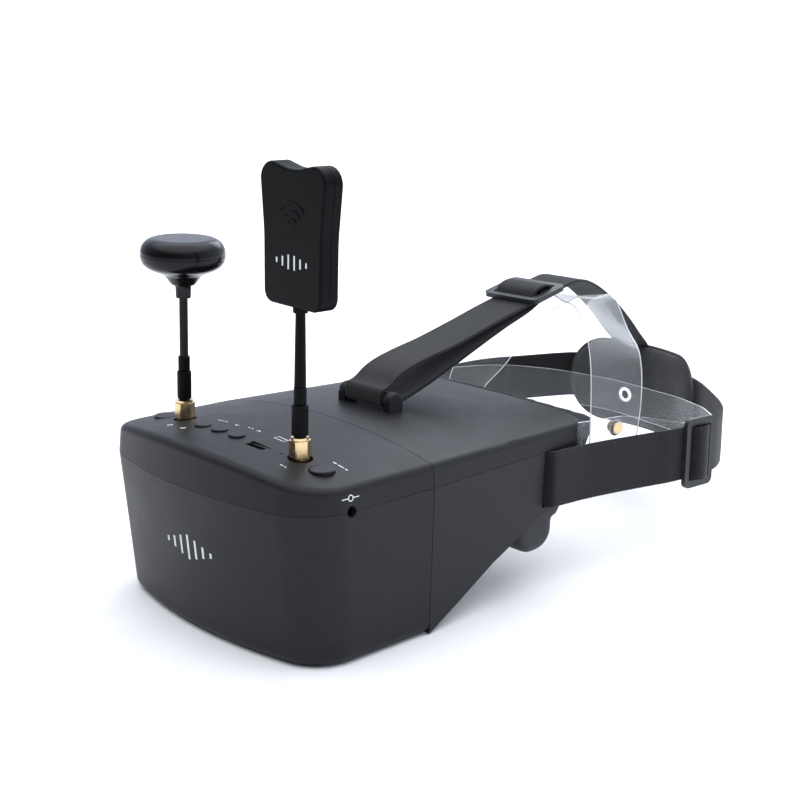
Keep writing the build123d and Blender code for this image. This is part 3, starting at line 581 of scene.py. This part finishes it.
def back_pad():
    """The cushion at the back of the head: two crowned faces that meet at a rim with piping."""
    rim = rounded_rim(PAD_HALF_LONG, PAD_HALF_TALL, PAD_CORNER, RIM_POINTS)
    count = len(rim)
    verts, faces = [], []
    for face in (1, -1):
        for k in range(1, PAD_RINGS + 1):
            r = (k / PAD_RINGS) ** 0.8
            crown = PAD_HALF_THICK * math.sqrt(max(0.0, 1 - r ** 5)) * (0.86 + 0.14 * math.cos(r * 1.5))
            for p in rim:
                a, z = p.x * r, p.y * r
                lump = 0.35 * noise.noise(Vector((a * 0.06, z * 0.07, face * 2.0))) * (1 - r ** 4)
                verts.append(on_pad(a, z, face * (0.25 + crown + lump)))
        verts.append(on_pad(0, 0, face * 4.4))
    half = PAD_RINGS * count + 1
    for base in (0, half):
        for i in range(count):
            j = (i + 1) % count
            faces.append((base + half - 1, base + i, base + j))
            for k in range(PAD_RINGS - 1):
                near, far = base + k * count, base + (k + 1) * count
                faces.append((near + i, far + i, far + j, near + j))
    last = (PAD_RINGS - 1) * count
    for i in range(count):
        j = (i + 1) % count
        faces.append((last + i, half + last + i, half + last + j, last + j))
    bm = bmesh.new()
    points = [bm.verts.new(Vector(v) * MM) for v in verts]
    for f in faces:
        bm.faces.new([points[i] for i in f])
    pad = from_bmesh("back_cushion", bm, "pad", "visor")
    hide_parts("back_pad")
    seam = [on_pad(p.x * 1.004, p.y * 1.004, 0.0) for p in rim]
    edge = tube("back_cushion_piping", seam, PIPING_RADIUS, "pad", "visor")


back_pad()


BROW_Y, BROW_RADIUS = 126.0, 156.0
BROW_LOWEST_Z = 66
BROW_SWELL = 2.3


def face_foam():
    """The foam rim and cheek lobes: the solid's form, with soft edges, swollen past the visor's rim."""
    mesh = NODES["face_foam"].data.copy()
    obj = link_object("foam_draft", mesh)
    obj.matrix_world = NODES["face_foam"].matrix_world
    remesh = obj.modifiers.new("remesh", "REMESH")
    remesh.mode = "VOXEL"
    remesh.voxel_size = 0.0011
    relax = obj.modifiers.new("relax", "SMOOTH")
    relax.factor = 0.5
    relax.iterations = 7
    graph = bpy.context.evaluated_depsgraph_get()
    soft = bpy.data.meshes.new_from_object(obj.evaluated_get(graph))
    turn = obj.matrix_world.copy()
    bpy.data.objects.remove(obj)
    soft.transform(turn)
    for v in soft.vertices:
        x, y, z = v.co.x / MM, v.co.y / MM, v.co.z / MM
        brow = BROW_Y + BROW_RADIUS - math.sqrt(BROW_RADIUS ** 2 - x ** 2)
        past = min(max((y - brow - 0.6) / 2.2, 0.0), 1.0)
        if z > BROW_LOWEST_Z:
            v.co.z += past * past * (3 - 2 * past) * BROW_SWELL * MM
        lump = noise.noise(Vector((x * 0.09, y * 0.09, z * 0.09)))
        v.co += v.normal * (0.25 * lump * MM)
    soft.materials.clear()
    foam = add_mesh("face_cushion", soft, "foam", "visor")
    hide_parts("face_foam")


face_foam()


# ---- clear former ----

def clear_sheets():
    """The sawn edges of the clear strips take the edge material, whose painted glow stands in for the light
    they catch.
    """
    across = Vector((0.15, 0.97, -0.18)).normalized()
    for name, direction in (("former_band", Vector((0, 0, 1))), ("former_arch", across)):
        mesh = NODES[name].data
        mesh.materials.clear()
        mesh.materials.append(M["clear"])
        mesh.materials.append(M["edge"])
        turn = NODES[name].matrix_world.to_3x3()
        for poly in mesh.polygons:
            normal = (turn @ poly.normal).normalized()
            poly.material_index = 1 if abs(normal.dot(direction)) > 0.62 else 0


clear_sheets()


RING_STEPS = 40
RING_SIDES = 10


def ring_at(name, centre, axis, radius, thick, squeeze, material, body):
    """Round-edged ring with its axis along a direction; squeeze flattens it along that axis."""
    axis = Vector(axis).normalized()
    u = axis.cross(Vector((0, 0, 1))).normalized()
    v = axis.cross(u)
    centre = Vector(centre)
    verts = []
    for i in range(RING_STEPS):
        turn = 2 * math.pi * i / RING_STEPS
        out = u * math.cos(turn) + v * math.sin(turn)
        for k in range(RING_SIDES):
            lean = 2 * math.pi * k / RING_SIDES
            reach = out * (radius + thick * math.cos(lean))
            verts.append(centre + reach + axis * (thick * squeeze * math.sin(lean)))
    return from_lists(name, verts, loop_faces(RING_STEPS, RING_SIDES), material, body)


# the eyelet rim takes the edge material, so it carries the same painted glow
ring_at("eyelet_rim", (68.7, 158.3, 82.0), (0.89, -0.18, 0.40), 2.7, 0.75, 0.8, "edge", "visor")
ring_at("rivet_washer", (71.5, 148.86, 68.5), (0.98, -0.2, 0), 3.0, 0.9, 0.35, "grey", "visor")


# ---- printed marks ----

SUNK = 0.12


def strokes(name, lines, width, place, material, body, lift=0.06):
    """Thin raised lines. A line is (points, closed) in a face's own two directions; place sets it there."""
    bm = bmesh.new()
    for points, closed in lines:
        points = [Vector((a, b)) for a, b in points]
        count = len(points)
        rows = []
        for i, p in enumerate(points):
            before = points[(i - 1) % count] if closed or i else points[0]
            after = points[(i + 1) % count] if closed or i < count - 1 else points[-1]
            along = (after - before).normalized()
            side = Vector((-along.y, along.x)) * width / 2
            corners = ((1, lift), (-1, lift), (-1, -SUNK), (1, -SUNK))
            rows.append([bm.verts.new(place(*(p + side * k), h) * MM) for k, h in corners])
        for i in range(count if closed else count - 1):
            a, b = rows[i], rows[(i + 1) % count]
            for k in range(4):
                bm.faces.new((a[k], a[(k + 1) % 4], b[(k + 1) % 4], b[k]))
        if not closed:
            bm.faces.new(rows[0])
            bm.faces.new(list(reversed(rows[-1])))
    return from_bmesh(name, bm, material, body, smooth=False)


def circle(x, y, radius, count=28, start=0.0, sweep_angle=360.0):
    """Points round a circle, or along an arc of it with both ends."""
    steps = count if sweep_angle >= 360 else count + 1
    turns = [math.radians(start + sweep_angle * i / count) for i in range(steps)]
    return [(x + radius * math.cos(turn), y + radius * math.sin(turn)) for turn in turns]


HALF_WIDTH = 72.5
TOP_Z, CROWN_RISE = 81.7, 7.7
PARTING_Z = 64.5
FRONT_Y, FRONT_RADIUS, FRONT_SLOPE = -43.0, 219.0, 6.0
WALL_SLOPE = 0.1
PATCH_JACK = Vector((41.2, -12.2, 88.0))
PATCH_LEAN = math.radians(1.8)
PATCH_HALF_THICK = 4.6


def on_top(x, y, lift):
    radius = (HALF_WIDTH ** 2 + CROWN_RISE ** 2) / (2 * CROWN_RISE)
    return Vector((x, y, TOP_Z - radius + math.sqrt(radius ** 2 - x ** 2) + lift))


def on_front(x, z, lift):
    sagitta = FRONT_RADIUS - math.sqrt(FRONT_RADIUS ** 2 - x ** 2)
    return Vector((x, FRONT_Y + sagitta + FRONT_SLOPE * (PARTING_Z - z) / PARTING_Z - lift, z))


def on_wall(y, z, lift):
    return Vector((HALF_WIDTH - WALL_SLOPE * (z - PARTING_Z) + lift, y, z))


def on_patch(x, z, lift):
    rise, c, s = z - PATCH_JACK.z, math.cos(PATCH_LEAN), math.sin(PATCH_LEAN)
    return PATCH_JACK + Vector((rise * s + x * c, -PATCH_HALF_THICK - lift, rise * c - x * s))


def bar(x, y, half_x, half_y):
    """A straight stroke with its middle at x, y."""
    return [(x - half_x, y - half_y), (x, y), (x + half_x, y + half_y)], False


def dashes(x, y, lengths, gap=0.8):
    """A row of short dashes, centred on a point."""
    total = sum(lengths) + gap * (len(lengths) - 1)
    out, at = [], x - total / 2
    for length in lengths:
        out.append(([(at, y), (at + length / 2, y), (at + length, y)], False))
        at += length + gap
    return out


top_marks = [(circle(-54.6, -4.0, 1.3, 24, 120, 300), False), ([(-54.6, -3.4), (-54.6, -1.9)], False),
             (circle(-32.6, -24.8, 1.0), True), (circle(-22.2, -25.1, 0.9), True),
             ([(-10.1, -6.0), (-9.0, -7.2), (-7.9, -6.0)], False),
             ([(4.1, -6.2), (5.2, -5.0), (6.3, -6.2)], False)]
top_marks += dashes(-20.0, -6.0, (2.6, 1.4, 1.4)) + dashes(-0.6, -5.4, (1.4, 1.4))
top_marks += dashes(44.3, -23.2, (1.8, 1.0)) + dashes(55.4, -3.4, (2.4, 3.4, 1.6))
strokes("top_marks", top_marks, 0.55, on_top, "white", "monitor")
card_mark = [(16.6, -6.3), (22.0, -6.3), (23.0, -5.3), (23.0, -3.9), (16.6, -3.9)]
strokes("card_mark", [(card_mark, True)], 0.45, on_top, "white", "monitor")
power_marks = [(circle(-12.2, 70.0, 1.15, 24), True), bar(-15.0, 70.0, 1.6, 0), bar(-9.5, 70.0, 1.5, 0)]
strokes("power_marks", power_marks, 0.4, on_wall, "white", "monitor")
front_heights = (2.2, 5.0, 8.2, 11.0, 8.2, 5.0, 2.2)
front_bars = [bar(-13.0 + 5.0 * i, 38.0, 0, height / 2) for i, height in enumerate(front_heights)]
strokes("front_bars", front_bars, 1.3, on_front, "white", "monitor", 0.05)
patch_heights = (2.0, 3.8, 5.6, 5.6, 3.8, 2.0)
patch_bars = [bar(-9.0 + 3.6 * i, 158.0, 0, height / 2) for i, height in enumerate(patch_heights)]
strokes("patch_bars", patch_bars, 0.9, on_patch, "white", "patch_antenna", 0.05)
arcs = [(circle(0, 170.5, radius, 20, 45, 90), False) for radius in (3.6, 6.8, 10.0)]
strokes("patch_arcs", arcs, 1.1, on_patch, "antenna", "patch_antenna", 0.3)


# ---- lights and floor ----

def area(name, place, target, size, power, colour):
    data = bpy.data.lights.new(name, "AREA")
    data.shape = "RECTANGLE"
    data.size, data.size_y = size
    data.energy = power
    data.color = colour
    obj = link_object(name, data)
    obj.location = place
    obj.rotation_euler = (Vector(target) - Vector(place)).to_track_quat("-Z", "Y").to_euler()


def room_light():
    """White where the camera looks, and for everything else a room with a bright far side and ceiling."""
    world = bpy.data.worlds.new("studio")
    bpy.context.scene.world = world
    world.use_nodes = True
    nodes, link = world.node_tree.nodes, world.node_tree.links.new
    plain = nodes["Background"]
    plain.inputs["Color"].default_value = (1, 1, 1, 1)
    room = nodes.new("ShaderNodeBackground")
    way = nodes.new("ShaderNodeTexCoord")
    dot = nodes.new("ShaderNodeVectorMath")
    dot.operation = "DOT_PRODUCT"
    dot.inputs[1].default_value = (-0.1, 0.9, 0.42)
    link(way.outputs["Generated"], dot.inputs[0])
    fade = nodes.new("ShaderNodeMapRange")
    fade.inputs["From Min"].default_value = -0.8
    fade.inputs["From Max"].default_value = 0.7
    link(dot.outputs["Value"], fade.inputs["Value"])
    ramp = nodes.new("ShaderNodeValToRGB")
    ramp.color_ramp.elements[0].color = (0.05, 0.05, 0.05, 1)
    ramp.color_ramp.elements[1].color = (0.88, 0.96, 1.14, 1)
    link(fade.outputs["Result"], ramp.inputs["Fac"])
    parts = nodes.new("ShaderNodeSeparateXYZ")
    link(way.outputs["Generated"], parts.inputs["Vector"])
    ceiling = nodes.new("ShaderNodeMapRange")
    ceiling.interpolation_type = "SMOOTHSTEP"
    ceiling.inputs["From Min"].default_value = 0.55
    ceiling.inputs["From Max"].default_value = 0.85
    ceiling.inputs["To Max"].default_value = 1.75
    link(parts.outputs["Z"], ceiling.inputs["Value"])
    both = nodes.new("ShaderNodeVectorMath")
    both.operation = "ADD"
    link(ramp.outputs["Color"], both.inputs[0])
    link(ceiling.outputs["Result"], both.inputs[1])
    link(both.outputs["Vector"], room.inputs["Color"])
    path = nodes.new("ShaderNodeLightPath")
    mix = nodes.new("ShaderNodeMixShader")
    link(path.outputs["Is Camera Ray"], mix.inputs[0])
    link(room.outputs[0], mix.inputs[1])
    link(plain.outputs[0], mix.inputs[2])
    link(mix.outputs[0], nodes["World Output"].inputs["Surface"])


def floor_sheet():
    bm = bmesh.new()
    bmesh.ops.create_grid(bm, x_segments=8, y_segments=8, size=3.0)
    mesh = bpy.data.meshes.new("floor")
    bm.to_mesh(mesh)
    bm.free()
    g = Graph("floor_paper")
    fleck = g.noise(40, 3)
    g.colour(g.ramp(fleck, [(0.3, (0.93, 0.93, 0.93)), (0.7, (0.96, 0.96, 0.96))]))
    g.set(Roughness=0.9, Specular_IOR_Level=0.1)
    mesh.materials.append(g.mat)
    floor = link_object("floor", mesh)
    floor.location = (0, 0, -0.0004)


room_light()
area("rear_softbox", (-0.5, 1.1, 0.75), (0, 0.05, 0.1), (0.7, 0.5), 3.0, (0.9, 0.95, 1.0))
floor_sheet()
bpy.context.scene.view_settings.view_transform = "Standard"
